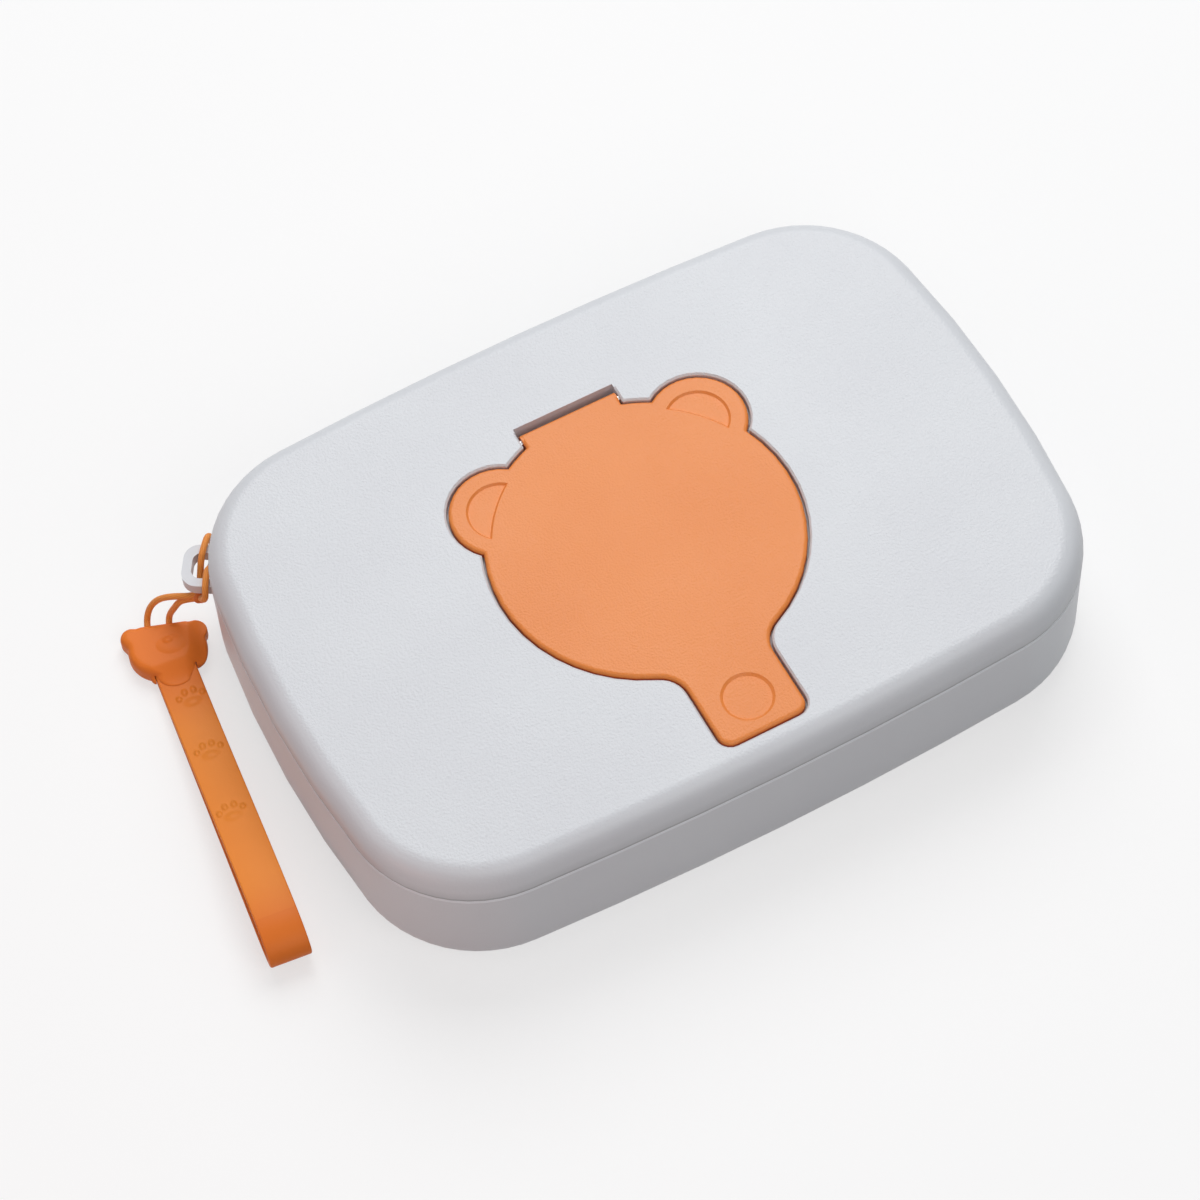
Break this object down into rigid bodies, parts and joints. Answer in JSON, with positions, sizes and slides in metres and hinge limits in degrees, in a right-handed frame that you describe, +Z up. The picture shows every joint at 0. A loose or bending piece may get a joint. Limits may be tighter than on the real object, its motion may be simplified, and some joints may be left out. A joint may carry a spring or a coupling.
{
  "type": "portable wet wipes box with flip lid and wrist strap",
  "caption": "Flat white wipes box with rounded corners, an orange flip lid over its outlet and an orange wrist strap hung on a cord at one rear corner.",
  "frame": {"origin": "middle of the flat underside, on the surface the box rests on", "axes": "+X along the long side, away from the strap; +Y from the lid's tab to its hinge; +Z up"},
  "size_m": [0.2028, 0.126, 0.036],
  "materials": {
    "shell_white": "satin",
    "lid_orange": "matte",
    "insert_pale": "matte",
    "seal_grey": "matte",
    "pin_steel": "satin",
    "strap_orange": "matte",
    "cord_orange": "matte"
  },
  "bodies": {
    "tray": {"base_tray": "shell_white", "cord_hitch": "cord_orange"},
    "cover": {"top_cover": "shell_white", "cover_seal": "seal_grey", "outlet_insert": "insert_pale", "hinge_pin": "pin_steel"},
    "lid": {"flip_lid": "lid_orange", "lid_seal": "seal_grey"},
    "strap": {"strap_head": "strap_orange", "strap_band": "strap_orange", "strap_cord": "cord_orange", "cord_knot": "cord_orange"}
  },
  "joints": [
    {"name": "cover_lift", "type": "slide", "parent": "tray", "child": "cover", "axis": [0, 0, 1], "range_m": [0, 0.06]},
    {"name": "lid_hinge", "type": "hinge", "parent": "cover", "child": "lid", "pos_m": [0, 0.03465, 0.0343], "axis": [-1, 0, 0], "range_deg": [0, 100]},
    {"name": "strap_swing", "type": "hinge", "parent": "tray", "child": "strap", "pos_m": [-0.0879, 0.0453, 0.0153], "axis": [0, 0, -1], "range_deg": [0, 75]}
  ]
}
